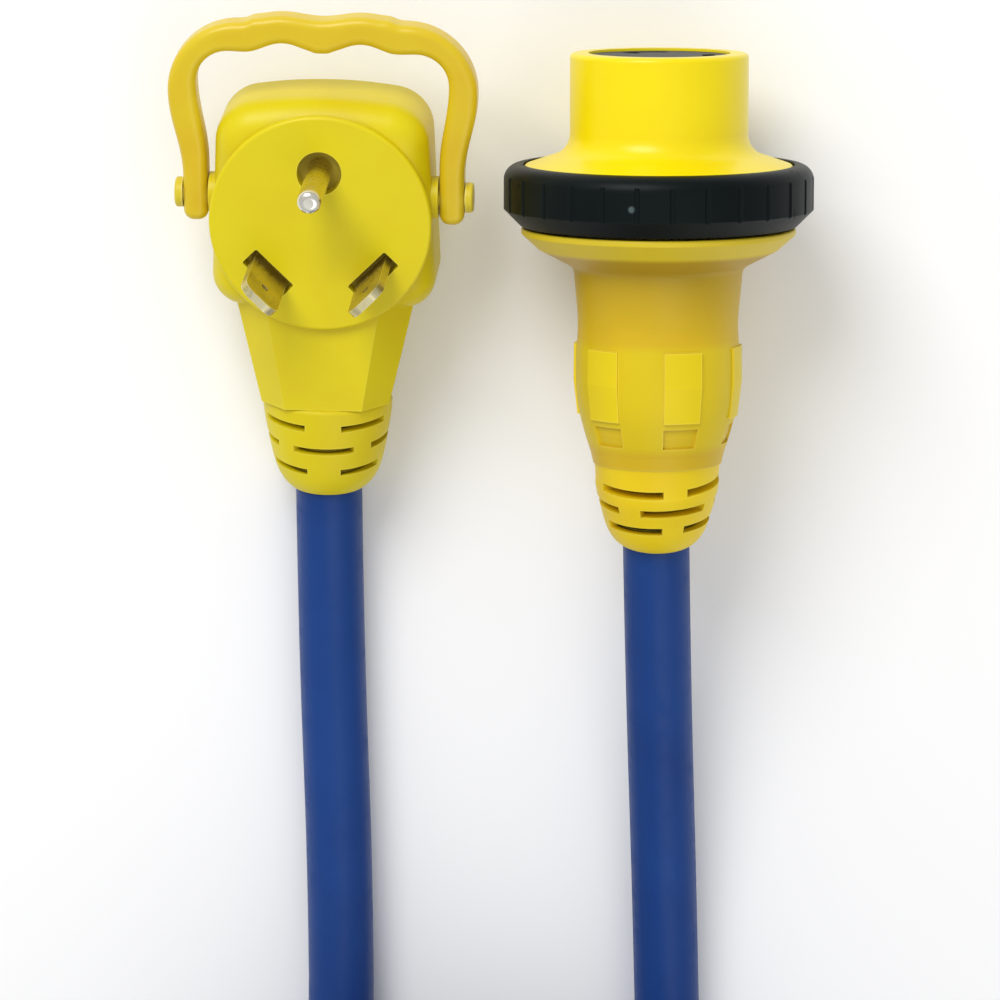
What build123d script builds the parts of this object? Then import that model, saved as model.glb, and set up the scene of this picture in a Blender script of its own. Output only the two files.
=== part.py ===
from build123d import *
from math import cos, pi, radians, sin, tan
import os

# Shore power cord, in millimetres. It lies on a floor at Z = 0, its two ends pointing to +Y:
# a right-angle plug with a hinged carry handle (X < 0) and a locking connector (X > 0).
# The origin is on the floor, under the middle of the box around the two ends.

# ---- where the two ends lie
PLUG_FACE_CENTRE = (-42.0, 14.9, 42.5)
PLUG_PITCH = 13.0        # handle end raised off the floor
PLUG_ROLL = 4.0          # about the plug's long axis, right side raised
RING_MIDDLE = (41.2, 22.1)
CONNECTOR_PITCH = 0.7    # nose raised
CONNECTOR_ROLL = 16.0    # about its own axis
RELIEF_DROOP = 15.3      # the connector's soft strain relief bends down with the cable

# ---- cable
CABLE_DIAMETER = 16.8
CABLE_RADIUS = CABLE_DIAMETER / 2
WIRE_RADIUS = 2.2
WIRE_BEND = 3.0

# ---- plug: u to the right, v away from the cable, w out of the face
FACE_RADIUS = 27.5
FACE_PROUD = 2.0         # thickness of the disc that stands on the body
BODY_WIDTH = 53.0        # at the handle's pivots
BODY_TOP_WIDTH = 52.0
BODY_BOTTOM_WIDTH = 56.2
BODY_TOP = 30.2
BODY_SHOULDER = 27.2     # height of the crowned top at the sides
BODY_BOTTOM = -23.5
BODY_DEPTH = 27.0
BODY_CORNER = 10.5
BODY_FOOT_CORNER = 8.0
BODY_FRONT_ROUND = 7.0
DRUM_RADIUS = 27.2       # of the round drum behind the face disc
BODY_BACK_ROUND = 6.0
CAVITY_WIDTH = 42.0
CAVITY_TOP = 22.0
CAVITY_BOTTOM = -21.0
CAVITY_FLOOR = -22.0
CAVITY_CORNER = 8.0
SPIGOT_CLEARANCE = 0.05
CABLE_AXIS_W = -13.0
NECK_END = -48.9
NECK_BORE = 9.5
WIRE_CHAMBER_WIDTH = 27.0
WIRE_CHAMBER_LENGTH = 13.0
CARRIER_FRONT = -4.0
CARRIER_BACK = -10.0

BLADE_OFFSET = 13.0      # of each blade's middle, sideways and towards the cable
BLADE_WIDTH = 10.6
BLADE_THICKNESS = 2.0
BLADE_LENGTH = 21.0
PIN_V = 13.1
PIN_RADIUS = 3.0
PIN_LENGTH = 24.0
PIN_SHANK_RADIUS = 2.6   # of the part held in the carrier
PIN_RECESS_RADIUS = 5.5
WINDOW_LENGTH = 13.0
WINDOW_WIDTH = 5.0
BLADE_TIP_CORNER = 3.4
BLADE_HOLE_RADIUS = 1.1
BLADE_HOLE_W = 12.5
CRIMP_RADIUS = 3.2
CRIMP_LENGTH = 12.5
CRIMP_W = -16.0

PLUG_RELIEF_LENGTH = 23.6
PLUG_SLOTS = ((3.3, 50.0), (9.4, 70.0), (15.4, 50.0))   # distance along the relief, degrees round it
PLUG_SLOT_SLANT = 7.0    # degrees, each slot is lower on its upper side
PLUG_SLOT_WIDTH = 1.7
SLOT_FLOOR_RADIUS = 10.4
SLOT_REACH = 20.0        # outside every relief

# ---- carry handle, in its own plane, measured from its pivot line
PIVOT_V = 4.0
PIVOT_W = -12.0
HANDLE_DEPTH = 8.0
HANDLE_ROUND = 2.0
GRIP_OUTER = 45.5        # mean heights of the wavy grip
GRIP_INNER = 37.9
OUTER_SWING = 0.5
INNER_SWING = 1.2
GRIP_PITCH = 19.3        # from one finger hump to the next
SHOULDER_OUTER = 44.2
SHOULDER_INNER = 36.9
CORNER_OUTER = 17.5
CORNER_INNER = 8.0
HANDLE_HALF_WIDTH = 38.1
LEG_WIDTH = 7.0
EYE_INSIDE = 28.7
EYE_OUTSIDE = 34.8
EYE_BOTTOM = -6.4
EYE_TOP = 5.0            # above it the eye widens into the leg
EYE_ROUND = 2.6
PIVOT_RADIUS = 2.5
PIVOT_CLEARANCE = 0.05
PIVOT_HEAD_RADIUS = 3.75
PIVOT_HEAD_HEIGHT = 2.0
PIVOT_DEPTH = 4.5
BOSS_RADIUS = 5.2

# ---- connector: z along its axis towards the nose, from the middle of the lock ring
NOSE_RADIUS = 21.9
NOSE_END = 34.7
FLANGE_RADIUS = 33.0
FLANGE_FRONT = 7.2       # at its rim; it rises from there to the nose
FLANGE_TOP = 11.0
FLANGE_BACK = 1.0
FLANGE_ROOT_ROUND = 5.5
NECK_RADIUS = 27.5
SPIGOT_RADIUS = 17.0
SPIGOT_END = -30.0
CORE_BORE = 14.8
INSERT_RADIUS = 17.4
INSERT_BACK = 12.0
INSERT_RECESS = 0.6
RING_RADIUS = 38.1
RING_HALF_WIDTH = 7.5
RING_BORE = 33.4
RING_LIP_BORE = 27.9
RING_FRONT_ROUND = 3.8
RING_CHAMFER = 4.0
RING_LIP_FRONT = -3.5
THREAD_DEPTH = 0.8
THREAD_PITCH = 2.4
THREAD_START = 5.6       # of the groove nearest the nose
THREAD_TURNS = 3
RING_GROOVES = 28
GRIP_START = -8.2
GRIP_END = -66.5
GRIP_BORE = 12.5
GRIP_LIP = 33.8          # radius of the bell's lip behind the ring
LIP_THICKNESS = 1.4
BELL_EDGE = (29.6, -13.4)
BELL_FOOT = (20.9, -17.9)
BELL_ROUND = 2.8
PAD_COUNT = 6
PAD_SPAN = 27.0          # degrees
PAD_HEIGHT = 0.7
CONNECTOR_RELIEF_LENGTH = 20.6
CONNECTOR_SLOTS = ((3.9, 67.0), (9.0, 67.0), (14.2, 67.0))
CONNECTOR_SLOT_SLANT = -5.0
CONNECTOR_SLOT_WIDTH = 2.0
CONTACT_CIRCLE = 12.2
CONTACT_SPAN = 54.0

# ---- hank: the unseen length, wound in two columns of turns round two folds
HANK_X = 2.95
HANK_FOLD_Y = -277.8     # centre of the near fold
HANK_STRAIGHT = 180.0
HANK_INSIDE = 42.0       # half widths
HANK_OUTSIDE = 75.6
HANK_LAYERS = 5
TIE_THICKNESS = 2.0
TIE_WIDTH = 25.0

CABLE_COLUMN = HANK_OUTSIDE - CABLE_RADIUS      # radius of the outer column of turns
INNER_COLUMN = HANK_INSIDE + CABLE_RADIUS
HANK_HEIGHT = HANK_LAYERS * CABLE_DIAMETER
FLOOR_LEVEL = CABLE_RADIUS                      # of the centre of a cable on the floor
HANK_LEVEL = TIE_THICKNESS + CABLE_RADIUS       # of the centre of the lowest turn


def within(frame, local=Plane.XY):
    """The plane `local`, read in the coordinates of `frame`, as a plane of the whole model."""
    return Plane(frame.location * local.location)


def point(frame, x, y, z):
    """A point given in the coordinates of `frame`, in the whole model's coordinates."""
    return frame.from_local_coords(Vector(x, y, z))


def save(sub_part, name):
    sub_part.part.label = name
    export_step(sub_part.part, f"parts/{name}.step")


# ---- frames of the sub-assemblies
plug = Plane(Location(PLUG_FACE_CENTRE) * Rotation(PLUG_PITCH, 0, 0) * Rotation(0, -PLUG_ROLL, 0))
handle_pivot = within(plug, Plane((0, PIVOT_V, PIVOT_W)))
plug_relief_frame = within(plug, Plane((0, NECK_END, CABLE_AXIS_W), x_dir=(1, 0, 0), z_dir=(0, -1, 0)))

# the lock ring rests on the floor on the edge of its rear chamfer
ring_height = RING_RADIUS * cos(radians(CONNECTOR_PITCH))
ring_height += (RING_HALF_WIDTH - RING_CHAMFER) * sin(radians(CONNECTOR_PITCH))
ring_centre = (*RING_MIDDLE, ring_height)
NOSE_TILT = Rotation(CONNECTOR_PITCH - 90, 0, 0)
connector = Plane(Location(ring_centre) * NOSE_TILT * Rotation(0, 0, CONNECTOR_ROLL))
connector_axis = Axis(connector.origin, connector.z_dir)
upright = Plane(Location(ring_centre) * NOSE_TILT)
relief_start = within(upright, Plane((0, 0, GRIP_END), x_dir=(1, 0, 0), z_dir=(0, 0, -1)))
connector_relief_frame = Plane(
    relief_start.location * Rotation(RELIEF_DROOP, 0, 0) * Rotation(0, 0, -CONNECTOR_ROLL)
)
connector_relief_axis = Axis(connector_relief_frame.origin, connector_relief_frame.z_dir)


def ring_sector(inner, outer, middle_angle, span):
    """A face in the sketch's plane: a piece of ring between two radii."""
    start = middle_angle - span / 2
    with BuildLine(Plane.XY) as edge:
        near = CenterArc((0, 0), inner, start, span)
        far = CenterArc((0, 0), outer, start, span)
        Line(near @ 0, far @ 0)
        Line(near @ 1, far @ 1)
    make_face(edge.edges())


def cut_relief_slots(frame, rows, slant, width):
    """Rows of four slots, each row turned half a step from the one before."""
    for row, (distance, span) in enumerate(rows):
        slot_plane = within(frame, Plane((0, 0, distance)).rotated((slant, 0, 0)))
        with BuildSketch(slot_plane) as slots:
            for quarter in range(4):
                ring_sector(SLOT_FLOOR_RADIUS, SLOT_REACH, 90 * quarter + 45 * ((row + 1) % 2), span)
        extrude(slots.sketch, amount=width / 2, both=True, mode=Mode.SUBTRACT)


def wire_along(points, radius, bend):
    """A round wire swept along runs joined by arcs of one radius."""
    with BuildLine() as route:
        path = FilletPolyline(*points, radius=bend)
    with BuildSketch(Plane(origin=path @ 0, z_dir=path % 0)) as section:
        Circle(radius)
    sweep(section.sketch, path=route.line)


# ------------------------------------------------------------------ plug: housing
def neck_outline(half_facet, half_width, front, back, slope, back_bevel):
    with BuildLine(Plane.XY) as edge:
        Polyline(
            (-half_facet, front), (half_facet, front), (half_width, front - slope),
            (half_width, back + back_bevel), (half_width - back_bevel, back),
            (back_bevel - half_width, back), (-half_width, back + back_bevel),
            (-half_width, front - slope), close=True,
        )
    make_face(edge.edges())


with BuildPart() as plug_housing:
    shoulder, foot = BODY_TOP_WIDTH / 2, BODY_BOTTOM_WIDTH / 2
    with BuildSketch(within(plug, Plane.XY.offset(-FACE_PROUD))) as outline:
        with BuildLine():
            crown = ThreePointArc((-shoulder, BODY_SHOULDER), (0, BODY_TOP), (shoulder, BODY_SHOULDER))
            Polyline(crown @ 1, (foot, BODY_BOTTOM), (-foot, BODY_BOTTOM), crown @ 0)
        make_face()
        fillet(outline.vertices().sort_by(Axis.Y)[:2], BODY_FOOT_CORNER)
        fillet(outline.vertices().sort_by(Axis.Y)[-2:], BODY_CORNER)
    extrude(amount=-BODY_DEPTH)
    back_face = plug_housing.faces().sort_by(Axis(plug.origin, plug.z_dir))[0]
    fillet(back_face.edges(), BODY_BACK_ROUND)
    front_face = plug_housing.faces().sort_by(Axis(plug.origin, plug.z_dir))[-1]
    fillet(front_face.edges(), BODY_FRONT_ROUND)
    with BuildSketch(within(plug, Plane.XY.offset(-FACE_PROUD))):
        Circle(DRUM_RADIUS)
    extrude(amount=-BODY_FRONT_ROUND)
    # the neck: a wedge with a flat front facet and sloping shoulders
    with BuildSketch(within(plug, Plane.XZ.offset(20.0))):
        neck_outline(14.6, 22.8, -2.7, -25.6, 7.0, 4.0)
    with BuildSketch(within(plug, Plane.XZ.offset(-NECK_END))):
        neck_outline(9.7, 16.0, -0.9, -25.2, 6.0, 5.0)
    loft(ruled=True)
    # bosses that the handle's eyes run against
    boss_root = BODY_WIDTH / 2 - 2.0
    for side in (-1, 1):
        with BuildSketch(within(handle_pivot, Plane((side * boss_root, 0, 0), z_dir=(side, 0, 0)))):
            Circle(BOSS_RADIUS)
        extrude(amount=EYE_INSIDE - boss_root - 0.3)
    # the cavity that the contact carrier plugs, and the cable's way in
    with BuildSketch(within(plug, Plane.XY.offset(-FACE_PROUD))):
        with Locations((0, (CAVITY_TOP + CAVITY_BOTTOM) / 2)):
            RectangleRounded(CAVITY_WIDTH, CAVITY_TOP - CAVITY_BOTTOM, CAVITY_CORNER)
    extrude(amount=CAVITY_FLOOR + FACE_PROUD, mode=Mode.SUBTRACT)
    with BuildSketch(plug_relief_frame):
        Circle(NECK_BORE)
    extrude(amount=NECK_END - CAVITY_BOTTOM, mode=Mode.SUBTRACT)
    with BuildSketch(within(plug_relief_frame, Plane.XY.offset(NECK_END - CAVITY_BOTTOM))):
        RectangleRounded(WIRE_CHAMBER_WIDTH, 2 * NECK_BORE - 1, 6.0)
    extrude(amount=WIRE_CHAMBER_LENGTH, mode=Mode.SUBTRACT)
    for side in (-1, 1):
        pin_plane = within(handle_pivot, Plane((side * EYE_INSIDE, 0, 0), z_dir=(-side, 0, 0)))
        with BuildSketch(pin_plane):
            Circle(PIVOT_RADIUS)
        extrude(amount=EYE_INSIDE - BODY_WIDTH / 2 + PIVOT_DEPTH, mode=Mode.SUBTRACT)

# ------------------------------------------------------------------ plug: face and carrier
with BuildPart() as plug_face:
    with BuildSketch(within(plug)):
        Circle(FACE_RADIUS)
    extrude(amount=-FACE_PROUD)
    rim = plug_face.faces().sort_by(Axis(plug.origin, plug.z_dir))[-1]
    fillet(rim.edges(), 0.9)
    with BuildSketch(within(plug, Plane.XY.offset(-FACE_PROUD))):
        with Locations((0, (CAVITY_TOP + CAVITY_BOTTOM) / 2)):
            RectangleRounded(
                CAVITY_WIDTH - 2 * SPIGOT_CLEARANCE,
                CAVITY_TOP - CAVITY_BOTTOM - 2 * SPIGOT_CLEARANCE,
                CAVITY_CORNER,
            )
    extrude(amount=CARRIER_FRONT + FACE_PROUD)
    with BuildSketch(within(plug)):
        with Locations((0, PIN_V)):
            Circle(PIN_RECESS_RADIUS)
        for side in (-1, 1):
            with Locations(Location((side * BLADE_OFFSET, -BLADE_OFFSET, 0), (0, 0, side * 45))):
                RectangleRounded(WINDOW_LENGTH, WINDOW_WIDTH, 0.5)
    extrude(amount=CARRIER_FRONT, mode=Mode.SUBTRACT)

with BuildPart() as contact_carrier:
    with BuildSketch(within(plug, Plane.XY.offset(CARRIER_FRONT))):
        with Locations((0, (CAVITY_TOP + CAVITY_BOTTOM) / 2)):
            RectangleRounded(
                CAVITY_WIDTH - 2 * SPIGOT_CLEARANCE,
                CAVITY_TOP - CAVITY_BOTTOM - 2 * SPIGOT_CLEARANCE,
                CAVITY_CORNER,
            )
        with Locations((0, PIN_V)):
            Circle(PIN_SHANK_RADIUS, mode=Mode.SUBTRACT)
        for side in (-1, 1):
            with Locations(Location((side * BLADE_OFFSET, -BLADE_OFFSET, 0), (0, 0, side * 45))):
                Rectangle(BLADE_WIDTH, BLADE_THICKNESS, mode=Mode.SUBTRACT)
    extrude(amount=CARRIER_BACK - CARRIER_FRONT)


# ------------------------------------------------------------------ plug: contacts
def add_crimp(u, v):
    """The barrel behind a contact that grips its wire; the wire enters at its lower end."""
    with BuildSketch(within(plug, Plane((u, v, CRIMP_W), z_dir=(0, 1, 0)))) as barrel:
        Circle(CRIMP_RADIUS)
    extrude(barrel.sketch, amount=CRIMP_LENGTH)


CRIMP_BLADE_V = -18.0
CRIMP_BLADE_U = 9.5
CRIMP_PIN_V = 2.5
blades = {}
for name, side in (("line_blade", -1), ("neutral_blade", 1)):
    with BuildPart() as blade:
        blade_plane = Plane((side * BLADE_OFFSET, -BLADE_OFFSET, CRIMP_W + 1)).rotated((0, 0, side * 45))
        with BuildSketch(within(plug, blade_plane)):
            Rectangle(BLADE_WIDTH, BLADE_THICKNESS)
        extrude(amount=BLADE_LENGTH - CRIMP_W - 1)
        tip = blade.faces().sort_by(Axis(plug.origin, plug.z_dir))[-1]
        fillet(tip.edges().sort_by(SortBy.LENGTH)[:2], BLADE_TIP_CORNER)
        hole_middle = Location((side * BLADE_OFFSET, -BLADE_OFFSET, BLADE_HOLE_W), (0, 0, side * 45))
        with BuildSketch(within(plug, Plane(hole_middle * Location((0, 0, 0), (90, 0, 0))))):
            Circle(BLADE_HOLE_RADIUS)
        extrude(amount=BLADE_THICKNESS, both=True, mode=Mode.SUBTRACT)
        add_crimp(side * CRIMP_BLADE_U, CRIMP_BLADE_V)
    blades[name] = blade

with BuildPart() as ground_pin:
    with BuildSketch(within(plug, Plane((0, PIN_V, CRIMP_W)))):
        Circle(PIN_SHANK_RADIUS)
    extrude(amount=CARRIER_FRONT - CRIMP_W)
    with BuildSketch(within(plug, Plane((0, PIN_V, CARRIER_FRONT)))):
        Circle(PIN_RADIUS)
    extrude(amount=PIN_LENGTH - CARRIER_FRONT)
    tip = ground_pin.faces().sort_by(Axis(plug.origin, plug.z_dir))[-1]
    fillet(tip.edges(), 1.8)
    add_crimp(0, CRIMP_PIN_V)

# ------------------------------------------------------------------ plug: strain relief
with BuildPart() as plug_strain_relief:
    # flattened rings that taper to a rounded end: distance, half width, half depth
    for distance, half_width, half_depth in (
        (0.0, 16.3, 13.2), (7.0, 15.6, 12.9), (14.5, 14.2, 12.3),
        (19.5, 12.7, 11.4), (PLUG_RELIEF_LENGTH, 9.5, 9.3),
    ):
        with BuildSketch(within(plug_relief_frame, Plane.XY.offset(distance))):
            Ellipse(half_width, half_depth)
    loft()
    fillet(plug_strain_relief.faces().sort_by(Axis(plug.origin, plug.y_dir))[-1].edges(), 1.0)
    with BuildSketch(plug_relief_frame):
        Circle(CABLE_RADIUS)
    extrude(amount=PLUG_RELIEF_LENGTH, mode=Mode.SUBTRACT)
    cut_relief_slots(plug_relief_frame, PLUG_SLOTS, PLUG_SLOT_SLANT, PLUG_SLOT_WIDTH)

STUB_INSET = 2.0
with BuildPart() as plug_cable_end:
    with BuildSketch(within(plug_relief_frame, Plane.XY.offset(-STUB_INSET))):
        Circle(CABLE_RADIUS)
    extrude(amount=PLUG_RELIEF_LENGTH + STUB_INSET)

# ------------------------------------------------------------------ plug: wires
wire_start_v = NECK_END + STUB_INSET
plug_wires = {}
for name, side in (("plug_wire_line", -1), ("plug_wire_neutral", 1)):
    with BuildPart() as wire:
        wire_along(
            [
                point(plug, side * 4.2, wire_start_v, -15.0),
                point(plug, side * 4.2, -34.0, -15.0),
                point(plug, side * CRIMP_BLADE_U, -25.0, CRIMP_W),
                point(plug, side * CRIMP_BLADE_U, CRIMP_BLADE_V, CRIMP_W),
            ],
            WIRE_RADIUS, WIRE_BEND,
        )
    plug_wires[name] = wire
with BuildPart() as wire:
    wire_along(
        [
            point(plug, 0, wire_start_v, -8.9),
            point(plug, 0, -38.0, -8.9),
            point(plug, 0, -24.0, CRIMP_W),
            point(plug, 0, CRIMP_PIN_V, CRIMP_W),
        ],
        WIRE_RADIUS, WIRE_BEND,
    )
plug_wires["plug_wire_ground"] = wire


# ------------------------------------------------------------------ carry handle
def wave(mean, swing, x):
    return mean - swing * cos(2 * pi * x / GRIP_PITCH)


leg_inside = HANDLE_HALF_WIDTH - LEG_WIDTH
outer_corner = (HANDLE_HALF_WIDTH - CORNER_OUTER, SHOULDER_OUTER - CORNER_OUTER)
inner_corner = (leg_inside - CORNER_INNER, SHOULDER_INNER - CORNER_INNER)
wave_x = [GRIP_PITCH * step / 8 for step in range(8)]
with BuildPart() as handle:
    with BuildSketch(within(handle_pivot, Plane.XY.offset(-HANDLE_DEPTH / 2))):
        with BuildLine():
            outer_grip = Spline(
                *[(x, wave(GRIP_OUTER, OUTER_SWING, x)) for x in wave_x],
                (outer_corner[0], SHOULDER_OUTER),
                tangents=((1, 0), (1, 0)),
            )
            outer_bend = CenterArc(outer_corner, CORNER_OUTER, 90, -90)
            leg_outer = Spline(outer_bend @ 1, (EYE_OUTSIDE, EYE_TOP), tangents=((0, -1), (0, -1)))
            eye = FilletPolyline(
                leg_outer @ 1, (EYE_OUTSIDE, EYE_BOTTOM), (EYE_INSIDE, EYE_BOTTOM), (EYE_INSIDE, EYE_TOP + 3.0),
                radius=EYE_ROUND,
            )
            Spline(eye @ 1, (leg_inside, inner_corner[1]), tangents=((0, 1), (0, 1)))
            CenterArc(inner_corner, CORNER_INNER, 0, 90)
            inner_grip = Spline(
                (inner_corner[0], SHOULDER_INNER),
                *[(x, wave(GRIP_INNER, INNER_SWING, x)) for x in reversed(wave_x)],
                tangents=((-1, 0), (-1, 0)),
            )
            Line(inner_grip @ 1, outer_grip @ 0)
        make_face()
        mirror(about=Plane.YZ)
    extrude(amount=HANDLE_DEPTH)
    sides = handle.faces().sort_by(Axis(plug.origin, plug.z_dir))
    fillet(sides[0].edges() + sides[-1].edges(), HANDLE_ROUND)
    for side in (-1, 1):
        eye_plane = within(handle_pivot, Plane((side * 26.0, 0, 0), z_dir=(side, 0, 0)))
        with BuildSketch(eye_plane):
            Circle(PIVOT_RADIUS + PIVOT_CLEARANCE)
        extrude(amount=12.0, mode=Mode.SUBTRACT)

pivots = {}
for name, side in (("handle_pin_left", -1), ("handle_pin_right", 1)):
    with BuildPart() as pivot:
        shaft_start = side * (BODY_WIDTH / 2 - PIVOT_DEPTH)
        with BuildSketch(within(handle_pivot, Plane((shaft_start, 0, 0), z_dir=(side, 0, 0)))):
            Circle(PIVOT_RADIUS)
        extrude(amount=EYE_OUTSIDE + 0.2 - abs(shaft_start))
        with BuildSketch(within(handle_pivot, Plane((side * (EYE_OUTSIDE + 0.2), 0, 0), z_dir=(side, 0, 0)))):
            Circle(PIVOT_HEAD_RADIUS)
        extrude(amount=PIVOT_HEAD_HEIGHT)
        cap = pivot.faces().sort_by(Axis(plug.origin, plug.x_dir))[-1 if side > 0 else 0]
        fillet(cap.edges(), 0.7)
    pivots[name] = pivot

# ------------------------------------------------------------------ connector: nose, flange, core
with BuildPart() as connector_body:
    with BuildSketch(within(connector, Plane.XZ)) as outline:
        with BuildLine():
            Polyline(
                (INSERT_RADIUS, NOSE_END), (NOSE_RADIUS, NOSE_END), (NOSE_RADIUS, FLANGE_TOP),
                (FLANGE_RADIUS, FLANGE_FRONT), (FLANGE_RADIUS, FLANGE_BACK), (NECK_RADIUS, FLANGE_BACK),
                (NECK_RADIUS, GRIP_START), (SPIGOT_RADIUS, GRIP_START), (SPIGOT_RADIUS, SPIGOT_END),
                (CORE_BORE, SPIGOT_END), (CORE_BORE, INSERT_BACK), (INSERT_RADIUS, INSERT_BACK),
                close=True,
            )
        make_face()
        for spot, radius in (
            ((NOSE_RADIUS, FLANGE_TOP), FLANGE_ROOT_ROUND),
            ((NOSE_RADIUS, NOSE_END), 1.2),
            ((FLANGE_RADIUS, FLANGE_FRONT), 0.8),
        ):
            fillet(outline.vertices().sort_by_distance(spot)[0], radius)
    revolve(axis=connector_axis)

# ------------------------------------------------------------------ connector: insert and contacts
SLOT_INNER = CONTACT_CIRCLE - 1.6
SLOT_OUTER = CONTACT_CIRCLE + 1.6
CONTACT_DEPTH = 16.0
TERMINAL_RADIUS = 2.5
insert_front = NOSE_END - INSERT_RECESS
contact_angles = {"socket_line": 210.0, "socket_neutral": 330.0, "socket_ground": 90.0}
with BuildPart() as connector_insert:
    with BuildSketch(within(connector, Plane.XY.offset(INSERT_BACK))):
        Circle(INSERT_RADIUS)
    extrude(amount=insert_front - INSERT_BACK)
    with BuildSketch(within(connector, Plane.XY.offset(insert_front))):
        for angle in contact_angles.values():
            ring_sector(SLOT_INNER, SLOT_OUTER, angle, CONTACT_SPAN)
        # the ground slot has a hook at one end
        ring_sector(SLOT_INNER - 2.2, SLOT_INNER + 0.2, contact_angles["socket_ground"] + 20.0, 14.0)
    extrude(amount=-CONTACT_DEPTH, mode=Mode.SUBTRACT)
    with BuildSketch(within(connector, Plane.XY.offset(INSERT_BACK))):
        with PolarLocations(CONTACT_CIRCLE, len(contact_angles), start_angle=90.0):
            Circle(TERMINAL_RADIUS)
    extrude(amount=insert_front - CONTACT_DEPTH - INSERT_BACK, mode=Mode.SUBTRACT)

sockets = {}
for name, angle in contact_angles.items():
    with BuildPart() as socket:
        with BuildSketch(within(connector, Plane.XY.offset(insert_front - CONTACT_DEPTH))):
            ring_sector(SLOT_OUTER - 0.9, SLOT_OUTER, angle, CONTACT_SPAN - 2)
        extrude(amount=CONTACT_DEPTH - 3.0)
        with BuildSketch(within(connector, Plane.XY.offset(INSERT_BACK))):
            with PolarLocations(CONTACT_CIRCLE, 1, start_angle=angle):
                Circle(TERMINAL_RADIUS)
        extrude(amount=insert_front - CONTACT_DEPTH - INSERT_BACK)
    sockets[name] = socket

# ------------------------------------------------------------------ lock ring
with BuildPart() as lock_ring:
    with BuildSketch(within(connector, Plane.XZ)) as outline:
        with BuildLine():
            Polyline(
                (RING_BORE, RING_HALF_WIDTH), (RING_RADIUS, RING_HALF_WIDTH),
                (RING_RADIUS, -RING_HALF_WIDTH), (RING_LIP_BORE, -RING_HALF_WIDTH),
                (RING_LIP_BORE, RING_LIP_FRONT), (RING_BORE, RING_LIP_FRONT), close=True,
            )
        make_face()
        fillet(outline.vertices().sort_by_distance((RING_RADIUS, RING_HALF_WIDTH))[0], RING_FRONT_ROUND)
        chamfer(outline.vertices().sort_by_distance((RING_RADIUS, -RING_HALF_WIDTH))[0], RING_CHAMFER)
        # the thread's grooves
        for turn in range(THREAD_TURNS):
            with Locations((RING_BORE, THREAD_START - turn * THREAD_PITCH)):
                Rectangle(2 * THREAD_DEPTH, THREAD_PITCH / 2, mode=Mode.SUBTRACT)
    revolve(axis=connector_axis)
    # finger grooves round the outside
    with BuildSketch(within(connector, Plane.XY.offset(-RING_HALF_WIDTH))):
        with PolarLocations(RING_RADIUS + 0.5, RING_GROOVES):
            Circle(0.9)
    extrude(amount=2 * RING_HALF_WIDTH - 2.6, mode=Mode.SUBTRACT)

# ------------------------------------------------------------------ connector: grip
grip_bend = [
    (20.3, -24.5), (19.9, -29.0), (19.8, -33.5), (20.1, -38.0), (20.2, -45.0), (19.6, -52.5),
    (18.2, -58.5), (16.6, -63.5),
]


def grip_radius(distance):
    """Outer radius of the bare grip beside a pad, between its waist and its end."""
    rows = [spot for spot in grip_bend if spot[1] < -30.0]
    for (r0, z0), (r1, z1) in zip(rows, rows[1:]):
        if z1 <= distance <= z0:
            return r0 + (r1 - r0) * (z0 - distance) / (z0 - z1)
    raise ValueError(distance)


def pad_face(front, back, inner_offset, outer_offset):
    """A strip that follows the grip's side, drawn in the connector's XZ plane."""
    middle = (front + back) / 2
    with BuildLine(Plane.XY) as edge:
        Polyline(
            (grip_radius(front) + outer_offset, front),
            (grip_radius(middle) + outer_offset, middle),
            (grip_radius(back) + outer_offset, back),
            (grip_radius(back) + inner_offset, back),
            (grip_radius(middle) + inner_offset, middle),
            (grip_radius(front) + inner_offset, front), close=True,
        )
    make_face(edge.edges())


with BuildPart() as connector_grip:
    with BuildSketch(within(connector, Plane.XZ)) as outline:
        with BuildLine():
            bell = Polyline(
                (SPIGOT_RADIUS, GRIP_START), (GRIP_LIP, GRIP_START), (GRIP_LIP, GRIP_START - LIP_THICKNESS),
                BELL_EDGE, BELL_FOOT, grip_bend[0],
            )
            waist = Spline(*grip_bend, tangents=((-0.1, -1.0), (-0.35, -1.0)))
            Polyline(
                waist @ 1, (15.9, GRIP_END), (GRIP_BORE, GRIP_END), (GRIP_BORE, SPIGOT_END),
                (SPIGOT_RADIUS, SPIGOT_END), bell @ 0,
            )
        make_face()
        for corner in (BELL_EDGE, BELL_FOOT):
            fillet(outline.vertices().sort_by_distance(corner)[0], BELL_ROUND)
        for corner in ((GRIP_LIP, GRIP_START), (GRIP_LIP, GRIP_START - LIP_THICKNESS)):
            fillet(outline.vertices().sort_by_distance(corner)[0], 0.6)
    revolve(axis=connector_axis)
    # raised pads, each with a sunk window below it
    for pad in range(PAD_COUNT):
        turn = 360.0 * pad / PAD_COUNT + 90.0 - PAD_SPAN / 2
        with BuildSketch(within(connector, Plane.XZ.rotated((0, 0, turn)))):
            pad_face(-37.0, -54.5, -1.0, PAD_HEIGHT)
        revolve(axis=connector_axis, revolution_arc=PAD_SPAN)
        with BuildSketch(within(connector, Plane.XZ.rotated((0, 0, turn)))):
            pad_face(-56.0, -61.0, -PAD_HEIGHT, 2.0)
        revolve(axis=connector_axis, revolution_arc=PAD_SPAN, mode=Mode.SUBTRACT)

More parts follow.
